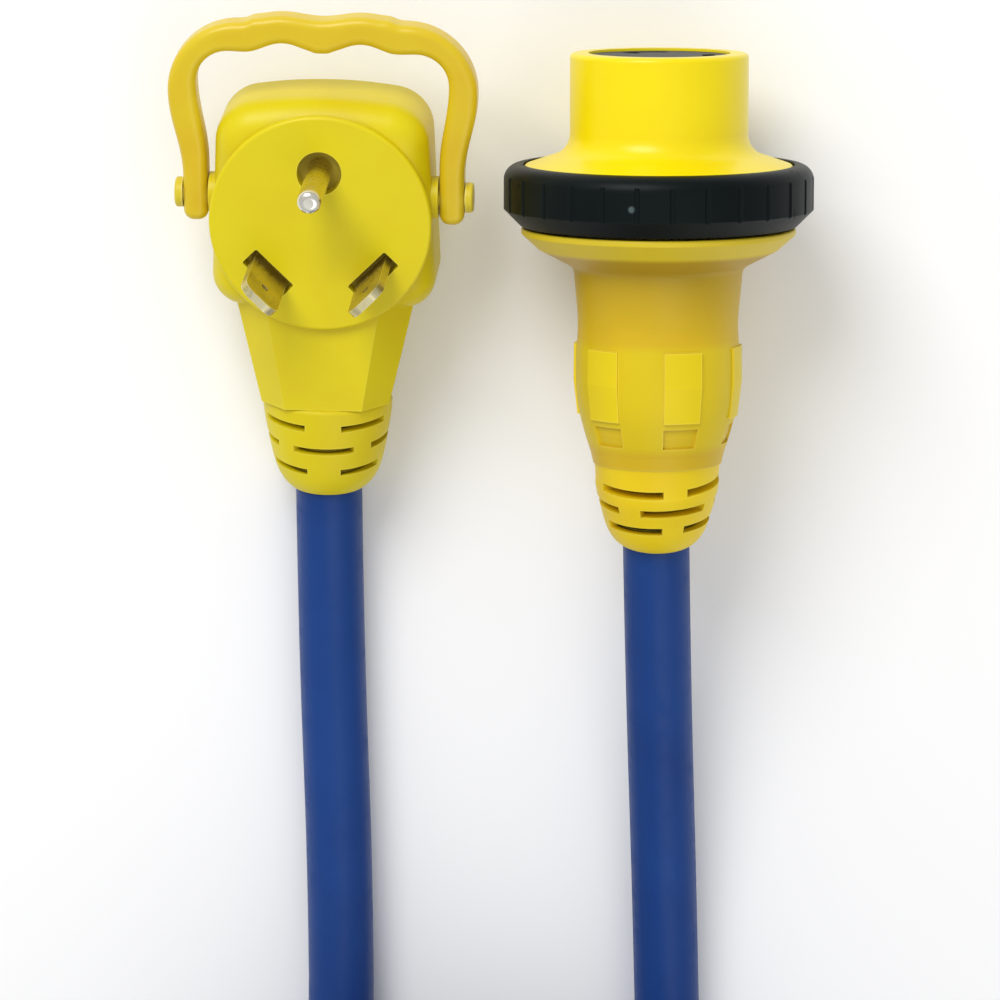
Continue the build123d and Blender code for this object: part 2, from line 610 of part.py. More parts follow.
# ------------------------------------------------------------------ connector: strain relief
BEND_LENGTH = 4.5
with BuildPart() as connector_strain_relief:
    with BuildSketch(relief_start):
        Circle(15.6)
    with BuildSketch(within(connector_relief_frame, Plane.XY.offset(BEND_LENGTH))):
        Circle(15.4)
    loft()
    with BuildSketch(within(connector_relief_frame, Plane.XZ)):
        with BuildLine():
            top = Line((0, BEND_LENGTH - 0.5), (15.4, BEND_LENGTH - 0.5))
            taper = Spline(
                top @ 1, (14.8, 8.4), (13.9, 12.0), (13.0, 15.4), (11.7, 18.5),
                (9.9, CONNECTOR_RELIEF_LENGTH), tangents=((0.0, 1.0), (-1.0, 0.7)),
            )
            Polyline(taper @ 1, (0, CONNECTOR_RELIEF_LENGTH), top @ 0)
        make_face()
    revolve(axis=connector_relief_axis)
    with BuildSketch(within(connector_relief_frame, Plane.XY.offset(-5.0))):
        Circle(CABLE_RADIUS)
    extrude(amount=CONNECTOR_RELIEF_LENGTH + 5.0, mode=Mode.SUBTRACT)
    cut_relief_slots(connector_relief_frame, CONNECTOR_SLOTS, CONNECTOR_SLOT_SLANT, CONNECTOR_SLOT_WIDTH)

CONNECTOR_STUB_INSET = 12.0
with BuildPart() as connector_cable_end:
    with BuildSketch(within(connector_relief_frame, Plane.XY.offset(-CONNECTOR_STUB_INSET))):
        Circle(CABLE_RADIUS)
    extrude(amount=CONNECTOR_RELIEF_LENGTH + CONNECTOR_STUB_INSET)

# ------------------------------------------------------------------ connector: wires
connector_wires = {}
for name, angle in (
    ("connector_wire_line", 210.0), ("connector_wire_neutral", 330.0), ("connector_wire_ground", 90.0),
):
    across, up = cos(radians(angle)), sin(radians(angle))
    with BuildPart() as wire:
        wire_along(
            [
                point(connector_relief_frame, 4.6 * across, -4.6 * up, -CONNECTOR_STUB_INSET),
                point(connector_relief_frame, 4.6 * across, -4.6 * up, -CONNECTOR_STUB_INSET - 9.0),
                point(connector, 6.0 * across, 6.0 * up, -20.0),
                point(connector, CONTACT_CIRCLE * across, CONTACT_CIRCLE * up, 2.0),
                point(connector, CONTACT_CIRCLE * across, CONTACT_CIRCLE * up, INSERT_BACK),
            ],
            WIRE_RADIUS, WIRE_BEND,
        )
    connector_wires[name] = wire


# ------------------------------------------------------------------ cable outside the ends
def bend_radii(points):
    """The largest tangent arcs that the runs beside each inner point leave room for."""
    radii = []
    for before, here, after in zip(points, points[1:], points[2:]):
        runs = (Vector(here) - Vector(before), Vector(after) - Vector(here))
        half_turn = radians(runs[0].get_angle(runs[1])) / 2
        radii.append(0.45 * min(run.length for run in runs) / tan(half_turn))
    return radii


plug_exit = point(plug_relief_frame, 0, 0, PLUG_RELIEF_LENGTH)
plug_touchdown = plug_exit + plug_relief_frame.z_dir * (
    (plug_exit.Z - FLOOR_LEVEL) / -plug_relief_frame.z_dir.Z
)
left_column = HANK_X - CABLE_COLUMN
right_column = HANK_X + INNER_COLUMN
plug_route = [
    tuple(plug_exit),
    tuple(plug_touchdown),
    (-40.4, -110.9, FLOOR_LEVEL),
    (-39.0, -151.4, FLOOR_LEVEL),
    (-38.6, -215.5, FLOOR_LEVEL),
    (left_column, HANK_FOLD_Y + 18.0, HANK_LEVEL),
    (left_column, HANK_FOLD_Y - 22.0, HANK_LEVEL),
]
connector_exit = point(connector_relief_frame, 0, 0, CONNECTOR_RELIEF_LENGTH)
connector_route = [
    tuple(connector_exit),
    tuple(connector_exit + connector_relief_frame.z_dir * 36.0 + Vector(0.9, 0, 0)),
    (44.6, -161.4, FLOOR_LEVEL),
    (46.0, -218.0, FLOOR_LEVEL),
    (right_column, -262.0, HANK_LEVEL),
    (right_column, -300.0, HANK_LEVEL),
]
cables = {}
for name, points in (("cord_plug_run", plug_route), ("cord_connector_run", connector_route)):
    radii = bend_radii(points)
    print(name, "bend radii", [round(radius, 1) for radius in radii])
    with BuildPart() as cable:
        with BuildLine():
            path = FilletPolyline(*points, radius=radii)
        with BuildSketch(Plane(origin=path @ 0, z_dir=path % 0)):
            Circle(CABLE_RADIUS)
        sweep()
    expected = pi * CABLE_RADIUS**2 * path.length
    print(name, "length", round(path.length, 1), "volume ratio", round(cable.part.volume / expected, 4))
    cables[name] = cable

with BuildPart() as cord_hank:
    hank_middle = (HANK_X, HANK_FOLD_Y - HANK_STRAIGHT / 2, TIE_THICKNESS)
    with BuildSketch(Plane(hank_middle)):
        SlotCenterToCenter(HANK_STRAIGHT, 2 * HANK_OUTSIDE, rotation=90)
        SlotCenterToCenter(HANK_STRAIGHT, 2 * HANK_INSIDE, rotation=90, mode=Mode.SUBTRACT)
    extrude(amount=HANK_HEIGHT)

ties = {}
for name, side in (("hank_tie_left", -1), ("hank_tie_right", 1)):
    tie_x = HANK_X + side * (HANK_INSIDE + HANK_OUTSIDE) / 2
    tie_plane = Plane(
        (tie_x, hank_middle[1], TIE_THICKNESS + HANK_HEIGHT / 2), x_dir=(1, 0, 0), z_dir=(0, -1, 0)
    )
    bundle_width = HANK_OUTSIDE - HANK_INSIDE
    with BuildPart() as tie:
        with BuildSketch(tie_plane):
            RectangleRounded(bundle_width + 2 * TIE_THICKNESS, HANK_HEIGHT + 2 * TIE_THICKNESS, 1.9)
            Rectangle(bundle_width, HANK_HEIGHT, mode=Mode.SUBTRACT)
        extrude(amount=TIE_WIDTH / 2, both=True)
    ties[name] = tie

# ------------------------------------------------------------------ write the nodes
os.makedirs("parts", exist_ok=True)
nodes = {
    "plug_housing": plug_housing,
    "plug_face": plug_face,
    "contact_carrier": contact_carrier,
    **blades,
    "ground_pin": ground_pin,
    "plug_strain_relief": plug_strain_relief,
    "plug_cable_end": plug_cable_end,
    **plug_wires,
    "handle": handle,
    **pivots,
    "connector_body": connector_body,
    "connector_insert": connector_insert,
    **sockets,
    "lock_ring": lock_ring,
    "connector_grip": connector_grip,
    "connector_strain_relief": connector_strain_relief,
    "connector_cable_end": connector_cable_end,
    **connector_wires,
    **cables,
    "cord_hank": cord_hank,
    **ties,
}
for name, sub_part in nodes.items():
    save(sub_part, name)
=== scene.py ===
from math import cos, pi, radians, sin, sqrt, tan

import bmesh
import bpy
from mathutils import Matrix, Vector


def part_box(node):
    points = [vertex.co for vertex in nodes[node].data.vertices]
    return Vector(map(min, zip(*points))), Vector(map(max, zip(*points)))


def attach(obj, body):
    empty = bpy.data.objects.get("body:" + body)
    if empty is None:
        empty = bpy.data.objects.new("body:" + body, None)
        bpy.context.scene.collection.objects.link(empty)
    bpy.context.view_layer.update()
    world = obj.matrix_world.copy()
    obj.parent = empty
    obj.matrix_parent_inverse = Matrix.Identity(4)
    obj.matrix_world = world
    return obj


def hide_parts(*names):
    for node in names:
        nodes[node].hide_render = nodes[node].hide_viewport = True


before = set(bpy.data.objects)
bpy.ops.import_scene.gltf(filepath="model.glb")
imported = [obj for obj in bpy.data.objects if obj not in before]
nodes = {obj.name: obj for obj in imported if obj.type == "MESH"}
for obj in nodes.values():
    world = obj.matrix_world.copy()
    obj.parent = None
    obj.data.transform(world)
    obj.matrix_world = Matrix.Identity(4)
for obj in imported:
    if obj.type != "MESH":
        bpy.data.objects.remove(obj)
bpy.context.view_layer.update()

# ------------------------------------------------------------------ camera
LOOK_AT = Vector((0.0022, -0.0583, 0.0084))
LEAN = radians(8.4)               # of the view, from straight down
CAMERA_DISTANCE = 1.2
LENS_MM = 169.7
SENSOR_MM = 36.0
away = Vector((0, sin(LEAN), cos(LEAN)))
upward = Vector((0, cos(LEAN), -sin(LEAN)))

camera_data = bpy.data.cameras.new("camera")
camera_data.sensor_width = SENSOR_MM
camera_data.lens = LENS_MM
camera = bpy.data.objects.new("camera", camera_data)
bpy.context.scene.collection.objects.link(camera)
turn = Matrix((Vector((1, 0, 0)), upward, away)).transposed()
camera.matrix_world = Matrix.Translation(LOOK_AT + CAMERA_DISTANCE * away) @ turn.to_4x4()
bpy.context.scene.camera = camera

# ------------------------------------------------------------------ the cord
CORD_DIAMETER = 0.0168
CORD_RADIUS = CORD_DIAMETER / 2
ON_FLOOR = CORD_RADIUS            # height of the centre of a cord that lies on the floor

hank_low, hank_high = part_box("cord_hank")
HANK_X = (hank_low.x + hank_high.x) / 2
OUTER_COLUMN = (hank_high.x - hank_low.x) / 2 - CORD_RADIUS     # radius of a turn's fold
INNER_COLUMN = OUTER_COLUMN - CORD_DIAMETER
NEAR_FOLD = hank_high.y - OUTER_COLUMN - CORD_RADIUS            # centre of the fold beside the leads
FAR_FOLD = hank_low.y + OUTER_COLUMN + CORD_RADIUS
LOWEST_TURN = hank_low.z + CORD_RADIUS
LAYERS = 5


def eased(value, start, end):
    """0 before start, 1 after end, and a smooth step between them."""
    share = min(1.0, max(0.0, (value - start) / (end - start)))
    return share * share * (3 - 2 * share)


def fold(centre_y, first_angle, steps, radius_at, level_at):
    """Control points round half a turn; radius and level may change with the angle."""
    step = 180.0 / steps
    points = []
    for index in range(steps):
        angle = (index + 0.5) * step
        reach = radius_at(angle) / cos(radians(step / 2))
        heading = radians(first_angle + angle)
        across, along = reach * cos(heading), reach * sin(heading)
        points.append((HANK_X + across, centre_y + along, level_at(angle)))
    return points


FAR_STEPS = 6
NEAR_STEPS = 9
CLIMB_BEFORE = 0.045              # a climb starts this far before the near fold
CLIMB_UNTIL = 40.0                # degrees into the fold
DROP = (48.0, 110.0)              # degrees of the near fold in which an inner turn goes down a layer
NARROWING = (90.0, 180.0)         # degrees of the near fold in which the top turn goes to the inner column
PLUG_LEAD_JOINS = (NEAR_FOLD + 0.018, NEAR_FOLD - 0.022)       # Y of its two places in the outer column
CONNECTOR_LEAD_LEAVES = (-0.3000, -0.2620)                     # Y of its two places in the inner column


def hank_points():
    """The put-away length: five turns climbing in the outer column, then five going down in the inner one."""
    points = []
    last = 2 * LAYERS - 1
    for number in range(2 * LAYERS):
        climbing = number < LAYERS
        layer = number if climbing else last - number
        radius = OUTER_COLUMN if climbing else INNER_COLUMN
        level = LOWEST_TURN + layer * CORD_DIAMETER
        near_end = NEAR_FOLD - radius * tan(radians(90.0 / NEAR_STEPS))
        far_end = FAR_FOLD + radius * tan(radians(90.0 / FAR_STEPS))
        middle = (near_end + far_end) / 2
        if number > 0:
            points.append((HANK_X - radius, near_end, level))
        points += [(HANK_X - radius, middle, level), (HANK_X - radius, far_end, level)]
        points += fold(FAR_FOLD, 180.0, FAR_STEPS, lambda angle: radius, lambda angle: level)
        points += [(HANK_X + radius, far_end, level), (HANK_X + radius, middle, level)]
        if number == last:
            break
        rise = 0.0
        if number < LAYERS - 1:
            rise = CORD_DIAMETER
        elif number >= LAYERS:
            rise = -CORD_DIAMETER

        def climbed(angle):
            """Share of this turn's change of layer that is done at an angle of the near fold."""
            if rise > 0:
                return eased(radius * radians(angle), -CLIMB_BEFORE, radius * radians(CLIMB_UNTIL))
            return eased(angle, *DROP)

        def column(angle):
            if number != LAYERS - 1:
                return radius
            return radius - CORD_DIAMETER * eased(angle, *NARROWING)

        points.append((HANK_X + radius, NEAR_FOLD - CLIMB_BEFORE, level))
        points.append((HANK_X + radius, near_end, level + rise * climbed(-90.0 / NEAR_STEPS)))
        points += fold(NEAR_FOLD, 0.0, NEAR_STEPS, column, lambda angle: level + rise * climbed(angle))
    return points


PLUG_EXIT = (-0.041093, -0.052825, 0.013555)
CONNECTOR_EXIT = (0.041200, -0.064197, 0.031649)
plug_lead = [
    PLUG_EXIT,
    (-0.041093, -0.075154, ON_FLOOR),
    (-0.0404, -0.1109, ON_FLOOR),
    (-0.0390, -0.1514, ON_FLOOR),
    (-0.0386, -0.2155, ON_FLOOR),
    (HANK_X - OUTER_COLUMN, PLUG_LEAD_JOINS[0], LOWEST_TURN),
    (HANK_X - OUTER_COLUMN, PLUG_LEAD_JOINS[1], LOWEST_TURN),
]
connector_lead = [
    (HANK_X + INNER_COLUMN, CONNECTOR_LEAD_LEAVES[0], LOWEST_TURN),
    (HANK_X + INNER_COLUMN, CONNECTOR_LEAD_LEAVES[1], LOWEST_TURN),
    (0.0460, -0.2180, ON_FLOOR),
    (0.0446, -0.1614, ON_FLOOR),
    (0.0421, -0.098802, 0.021726),
    CONNECTOR_EXIT,
]
route = plug_lead + hank_points() + connector_lead

cord_curve = bpy.data.curves.new("power_cord", "CURVE")
cord_curve.dimensions = "3D"
cord_curve.resolution_u = 8
cord_curve.bevel_depth = 1.0      # times each point's radius
cord_curve.bevel_resolution = 8
cord_curve.use_fill_caps = True
spline = cord_curve.splines.new("NURBS")
spline.points.add(len(route) - 1)
for control, place in zip(spline.points, route):
    control.co = (*place, 1.0)
    control.radius = CORD_RADIUS
spline.order_u = 3
spline.use_endpoint_u = True
cord = bpy.data.objects.new("power_cord", cord_curve)
bpy.context.scene.collection.objects.link(cord)
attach(cord, "root")
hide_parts("cord_plug_run", "cord_hank", "cord_connector_run")

# ------------------------------------------------------------------ ties
TIE_THICKNESS = 0.0018
TIE_EDGE = 0.0005                 # round of the webbing's long edges
TIE_OVERLAP = 0.034               # of the free end over the start
TIE_RISE = 0.007                  # in which the free end climbs onto the start
TIE_TAB = 0.006                   # round of the free end's corners
TIE_STATION = 0.0016              # from one section of the webbing to the next
QUARTER = pi / 2


def loop_spot(distance, half_width, half_height, corner):
    """A place on a rounded rectangle, upwards from the middle of its right side, and the direction out."""
    x, z, heading = half_width, 0.0, QUARTER
    across, up = half_width - corner, half_height - corner
    for side in (up, 2 * across, 2 * up, 2 * across, up):
        gone = min(distance, side)
        x, z = x + gone * cos(heading), z + gone * sin(heading)
        distance -= gone
        turned = min(distance / corner, QUARTER)
        x += corner * (sin(heading + turned) - sin(heading))
        z += corner * (cos(heading) - cos(heading + turned))
        heading += turned
        distance -= turned * corner
        if distance <= 0:
            break
    return x, z, heading - QUARTER


def webbing_section(half_width):
    """The webbing's cross-section, as pairs: out of the loop, and across its width."""
    inset_out, inset_across = TIE_THICKNESS / 2 - TIE_EDGE, half_width - TIE_EDGE
    section = []
    for quadrant, (out, across) in enumerate(((1, 1), (-1, 1), (-1, -1), (1, -1))):
        for step in range(4):
            angle = QUARTER * quadrant + QUARTER * step / 3
            section.append((
                out * inset_out + TIE_EDGE * cos(angle),
                across * inset_across + TIE_EDGE * sin(angle),
            ))
    return section


def make_tie(name, facing):
    """A strap of hook-and-loop webbing round one side of the hank; its free end lies on the inner side."""
    low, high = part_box(name)
    middle = Vector(((low.x + high.x) / 2, (low.y + high.y) / 2, (hank_low.z + hank_high.z) / 2))
    half_width = CORD_DIAMETER + TIE_THICKNESS / 2
    half_height = (hank_high.z - hank_low.z + TIE_THICKNESS) / 2
    corner = CORD_RADIUS + TIE_THICKNESS / 2
    once_round = 4 * (half_width + half_height - 2 * corner) + 4 * QUARTER * corner
    length = once_round + TIE_OVERLAP
    stations = int(length / TIE_STATION)
    mesh = bmesh.new()
    rings = []
    for station in range(stations + 1):
        distance = length * station / stations
        x, z, out = loop_spot(distance % once_round, half_width, half_height, corner)
        lift = TIE_THICKNESS * eased(distance, once_round - TIE_RISE, once_round)
        to_end = min(length - distance, TIE_TAB)
        half_span = (high.y - low.y) / 2 - TIE_TAB + sqrt(TIE_TAB ** 2 - (TIE_TAB - to_end) ** 2)
        ring_points = []
        for outward, across in webbing_section(half_span):
            reach = lift + outward
            spot = Vector((facing * (x + reach * cos(out)), across, z + reach * sin(out)))
            ring_points.append(mesh.verts.new(middle + spot))
        rings.append(ring_points)
    for here, there in zip(rings, rings[1:]):
        for index in range(len(here)):
            after = (index + 1) % len(here)
            mesh.faces.new((here[index], here[after], there[after], there[index]))
    mesh.faces.new(rings[0])
    mesh.faces.new(rings[-1])
    bmesh.ops.recalc_face_normals(mesh, faces=mesh.faces)
    data = bpy.data.meshes.new(name + "_strap")
    mesh.to_mesh(data)
    mesh.free()
    data.shade_smooth()
    strap = bpy.data.objects.new(name + "_strap", data)
    bpy.context.scene.collection.objects.link(strap)
    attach(strap, "root")
    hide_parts(name)
    return strap


ties = [make_tie("hank_tie_left", 1), make_tie("hank_tie_right", -1)]

# ------------------------------------------------------------------ floor and light
FLOOR_SIZE = 10.0
floor_mesh = bpy.data.meshes.new("floor")
half = FLOOR_SIZE / 2
corners = [(-half, -half, 0), (half, -half, 0), (half, half, 0), (-half, half, 0)]
floor_mesh.from_pydata(corners, [], [(0, 1, 2, 3)])
floor = bpy.data.objects.new("floor", floor_mesh)
bpy.context.scene.collection.objects.link(floor)


def area_light(name, place, size, power):
    data = bpy.data.lights.new(name, "AREA")
    data.shape = "DISK"
    data.size = size
    data.energy = power
    lamp = bpy.data.objects.new(name, data)
    lamp.location = place
    lamp.rotation_euler = (LOOK_AT - Vector(place)).to_track_quat("-Z", "Y").to_euler()
    bpy.context.scene.collection.objects.link(lamp)


WORLD_STRENGTH = 0.60
area_light("key_light", (-0.50, 0.95, 1.15), size=0.9, power=14.0)
area_light("fill_light", (0.35, -0.85, 1.30), size=1.2, power=4.2)
world = bpy.data.worlds.new("studio")
world.use_nodes = True
background = world.node_tree.nodes["Background"]
background.inputs["Color"].default_value = (1, 1, 1, 1)
background.inputs["Strength"].default_value = WORLD_STRENGTH
bpy.context.scene.world = world
bpy.context.scene.view_settings.view_transform = "Standard"


# ------------------------------------------------------------------ shader helpers
def put(tree, value, socket):
    """A value for a shader input: another node's output, a colour of three parts, or a plain value."""
    if isinstance(value, bpy.types.NodeSocket):
        tree.links.new(value, socket)
    elif socket.type == "RGBA":
        socket.default_value = (*value, 1.0)
    else:
        socket.default_value = value


def add(tree, kind, inputs=None, **settings):
    made = tree.nodes.new("ShaderNode" + kind)
    for key, value in settings.items():
        setattr(made, key, value)
    for key, value in (inputs or {}).items():
        put(tree, value, made.inputs[key])
    return made


def mixed(tree, factor, first, second):
    return add(tree, "Mix", {0: factor, 6: first, 7: second}, data_type="RGBA").outputs[2]


def ranged(tree, value, low, high, to_low=0.0, to_high=1.0):
    """A value scaled from one range to another, and held at its ends."""
    return add(tree, "MapRange", {0: value, 1: low, 2: high, 3: to_low, 4: to_high}).outputs[0]


def maths(tree, operation, *values):
    return add(tree, "Math", dict(enumerate(values)), operation=operation).outputs[0]


def noise(tree, place, scale, detail=2.0, roughness=0.5):
    return add(tree, "TexNoise", {"Vector": place, "Scale": scale, "Detail": detail,
                                  "Roughness": roughness}).outputs["Fac"]


def edges(tree, radius, sharpest=0.90):
    """1 on an edge sharper than the radius, falling to 0 on a flat."""
    bevelled = add(tree, "Bevel", {"Radius": radius}, samples=6).outputs[0]
    flat = add(tree, "NewGeometry").outputs["Normal"]
    alike = add(tree, "VectorMath", {0: bevelled, 1: flat}, operation="DOT_PRODUCT").outputs["Value"]
    return ranged(tree, alike, 0.995, sharpest)


def about_axis(tree, place, origin, direction):
    """Where a point is about an axis: its distance along it, its distance from it, and the vector from it."""
    offset = add(tree, "VectorMath", {0: place, 1: origin}, operation="SUBTRACT").outputs[0]
    along = add(tree, "VectorMath", {0: offset, 1: direction}, operation="DOT_PRODUCT").outputs["Value"]
    on_axis = add(tree, "VectorMath", {0: direction, "Scale": along}, operation="SCALE").outputs[0]
    beside = add(tree, "VectorMath", {0: offset, 1: on_axis}, operation="SUBTRACT").outputs[0]
    reach = add(tree, "VectorMath", {0: beside}, operation="LENGTH").outputs["Value"]
    return along, reach, beside


def band(tree, value, low, high, soft):
    """1 between low and high, fading over soft at both."""
    return maths(tree, "MINIMUM", ranged(tree, value, low - soft, low + soft),
                 ranged(tree, value, high + soft, high - soft))


def bump(tree, shader, height, distance, strength=1.0, before=None):
    made = add(tree, "Bump", {"Height": height, "Distance": distance, "Strength": strength})
    if before is not None:
        tree.links.new(before, made.inputs["Normal"])
    tree.links.new(made.outputs[0], shader.inputs["Normal"])
    return made.outputs[0]


def start(name, **sockets):
    """A new material, its tree, its principled shader, and the place at rest for its patterns."""
    material = bpy.data.materials.new(name)
    material.use_nodes = True
    tree = material.node_tree
    shader = tree.nodes["Principled BSDF"]
    for key, value in sockets.items():
        shader.inputs[key.replace("_", " ")].default_value = value
    return material, tree, shader, add(tree, "TexCoord").outputs["Object"]


def mould(begun, colour, deep, pale, rough=0.40, grain=900.0, relief=0.00003, rub=0.0007, wear=0.5):
    """Moulded plastic or vinyl: faint cloudy colour, handling scuffs, fine grain, and paler edges that are
    partly worn by rubbing and partly a painted highlight.
    """
    material, tree, shader, place = begun
    cloud = ranged(tree, noise(tree, place, 42.0, 3.0), 0.38, 0.66)
    scuff = ranged(tree, noise(tree, place, 210.0, 6.0, 0.68), 0.60, 0.72)
    base = mixed(tree, cloud, colour, deep)
    # paler edges: partly worn by rubbing, partly a painted highlight
    base = mixed(tree, maths(tree, "MULTIPLY", edges(tree, rub), wear), base, pale)
    tree.links.new(base, shader.inputs["Base Color"])
    tree.links.new(maths(tree, "MULTIPLY_ADD", scuff, 0.14, rough), shader.inputs["Roughness"])
    wavy = bump(tree, shader, noise(tree, place, 55.0, 1.0), 0.0004, 0.35)
    bump(tree, shader, noise(tree, place, grain, 3.0, 0.6), relief, 0.8, wavy)
    return material


def moulded(name, colour, deep, pale, specular=0.3, coat=0.0, **looks):
    begun = start(name, Specular_IOR_Level=specular, Coat_Weight=coat, Coat_Roughness=0.25)
    return mould(begun, colour, deep, pale, **looks)


# ------------------------------------------------------------------ where the ends' axes lie
def unit(*parts):
    return Vector(parts).normalized()


PLUG_MIDDLE = (-0.0420, 0.0149, 0.0425)
PLUG_OUT = unit(-0.069756, -0.224403, 0.971997)
CONNECTOR_MIDDLE = (0.0412, 0.0221, 0.03814)
CONNECTOR_OUT = unit(0.0, 0.999925, 0.012217)
PLUG_RELIEF_LENGTH = 0.0236
CONNECTOR_RELIEF_LENGTH = 0.0206
plug_relief_out = unit(0.0, -0.97437, -0.22495)
connector_relief_out = unit(0.0, -0.96126, -0.27564)

# ------------------------------------------------------------------ materials of the plug
YELLOW = (0.72, 0.600, 0.003)
DEEP_YELLOW = (0.69, 0.550, 0.003)
PALE_YELLOW = (0.78, 0.69, 0.07)
SLOT_FLOOR = 0.0104               # radius of the relief slots' floor


def relief_material(name, colour, deep, origin, out, slot_shade_colours, darker_shade_from, slots_until):
    """Vinyl with slots to flex; painted shade darkens the slots' floors, and a second, darker painted shade
    takes over in the last rows.
    """
    begun = start(name, Specular_IOR_Level=0.3)
    tree, place = begun[1], begun[3]
    along, reach, _ = about_axis(tree, place, origin, out)
    # painted shade on the slots' floors, darker still in the last rows
    deep_enough = ranged(tree, reach, SLOT_FLOOR + 0.0011, SLOT_FLOOR + 0.0003)
    in_slot_rows = ranged(tree, along, slots_until + 0.0005, slots_until - 0.0005)
    painted_slot_shade = maths(tree, "MULTIPLY", deep_enough, in_slot_rows)
    darker_shade_rows = ranged(tree, along, darker_shade_from - 0.0004, darker_shade_from + 0.0004)
    slot_shade_colour = mixed(tree, darker_shade_rows, *slot_shade_colours)
    colour = mixed(tree, painted_slot_shade, colour, slot_shade_colour)
    deep = mixed(tree, painted_slot_shade, deep, slot_shade_colour)
    return mould(begun, colour, deep, PALE_YELLOW, rough=0.44)


def contact_metal(name, colour, deep, tip_colour, tip_at, rough, squeeze):
    """Contact metal with fine lines, yellowish tarnish, and a brighter tip where it rubs in the outlet."""
    material, tree, shader, place = start(name, Metallic=1.0)
    along, _, _ = about_axis(tree, place, PLUG_MIDDLE, PLUG_OUT)
    lines = noise(tree, add(tree, "Mapping", {"Vector": place, "Scale": squeeze}).outputs[0], 1500.0, 2.0)
    tarnish = ranged(tree, noise(tree, place, 120.0, 5.0, 0.6), 0.42, 0.68)
    patchy = maths(tree, "ADD", along, ranged(tree, tarnish, 0.0, 1.0, -0.0006, 0.0006))
    at_tip = ranged(tree, patchy, tip_at - 0.0012, tip_at + 0.0004)
    base = mixed(tree, at_tip, mixed(tree, tarnish, colour, deep), tip_colour)
    # brighter edges: partly worn bright metal, partly a painted highlight
    base = mixed(tree, edges(tree, 0.0004), base, [min(1.0, 1.2 * part) for part in tip_colour])
    tree.links.new(base, shader.inputs["Base Color"])
    tree.links.new(ranged(tree, lines, 0.3, 0.7, rough - 0.08, rough + 0.12), shader.inputs["Roughness"])
    bump(tree, shader, lines, 0.00002, 0.6)
    return material


shell = moulded("plug_shell", YELLOW, DEEP_YELLOW, PALE_YELLOW)
face = moulded("plug_face", (0.73, 0.612, 0.003), (0.71, 0.575, 0.003), PALE_YELLOW, rough=0.36)
# Painted shade in the relief's slots.
plug_relief = relief_material(
    "plug_relief", YELLOW, DEEP_YELLOW,
    origin=Vector(PLUG_EXIT) - PLUG_RELIEF_LENGTH * plug_relief_out, out=plug_relief_out,
    slot_shade_colours=((0.22, 0.15, 0.004), (0.20, 0.14, 0.004)), darker_shade_from=0.012, slots_until=0.0185,
)
# Painted shade and highlight: the deeper amber of the flat front stands for its shade, and the wide pale band
# on the rounded rims is a painted highlight.
handle = moulded(
    "handle", (0.70, 0.515, 0.010), (0.67, 0.45, 0.006), (0.77, 0.66, 0.10),
    rough=0.32, coat=0.1, rub=0.0024, wear=0.8,
)
pivot = moulded("pivot_head", (0.70, 0.56, 0.03), (0.64, 0.50, 0.02), (0.80, 0.72, 0.22), wear=0.7)
carrier = moulded("carrier", (0.44, 0.350, 0.030), (0.37, 0.290, 0.026), (0.50, 0.41, 0.07), rough=0.6)
blade_metal = contact_metal(
    "blade_metal", (0.60, 0.51, 0.20), (0.42, 0.34, 0.11), (0.66, 0.60, 0.36),
    tip_at=0.0205, rough=0.36, squeeze=(1.0, 1.0, 0.06),
)
pin_metal = contact_metal(
    "pin_metal", (0.74, 0.64, 0.30), (0.56, 0.47, 0.18), (0.80, 0.78, 0.70),
    tip_at=0.0232, rough=0.24, squeeze=(0.06, 0.06, 1.0),
)
core = moulded("cable_core", (0.020, 0.020, 0.022), (0.010, 0.010, 0.012), (0.05, 0.05, 0.05), rough=0.6)
wire_black = moulded("wire_black", (0.012, 0.012, 0.012), (0.008, 0.008, 0.008), (0.04, 0.04, 0.04))
wire_white = moulded("wire_white", (0.72, 0.72, 0.69), (0.62, 0.62, 0.58), (0.80, 0.80, 0.78))
wire_green = moulded("wire_green", (0.010, 0.22, 0.045), (0.008, 0.16, 0.035), (0.03, 0.32, 0.09))

# ------------------------------------------------------------------ materials of the connector
PADS = 6
PAD_MIDDLE = radians(13.5)        # of one grip pad, round the connector's axis from +X
PAD_HALF = radians(13.5)
PAD_SOFT = 0.05                   # of a pad's two sides, on the wave round the axis
PADS_FROM_TO = (-0.0546, -0.0370)           # along the connector's axis, from the ring's middle
# painted shade: the sunk windows below the pads get a darker colour
PAINTED_WINDOW_SHADE_FROM_TO = (-0.0610, -0.0560)
# brighter yellow band and pads: partly the vinyl's own two tones, partly painted light on the raised pads
YELLOW_BAND_FROM_TO = (-0.0618, -0.0360)
# Painted shade under the bell and down the neck below the ring, fading further down, and a painted highlight
# on the bell's rim just under the ring.
PAINTED_SHADE_UNDER_BELL_FROM_TO = (-0.0185, -0.0130)
PAINTED_HIGHLIGHT_ON_LIP_FROM_TO = (-0.0142, -0.0130)
PAINTED_SHADE_DOWN_WAIST_FROM_TO = (-0.0190, -0.0340)


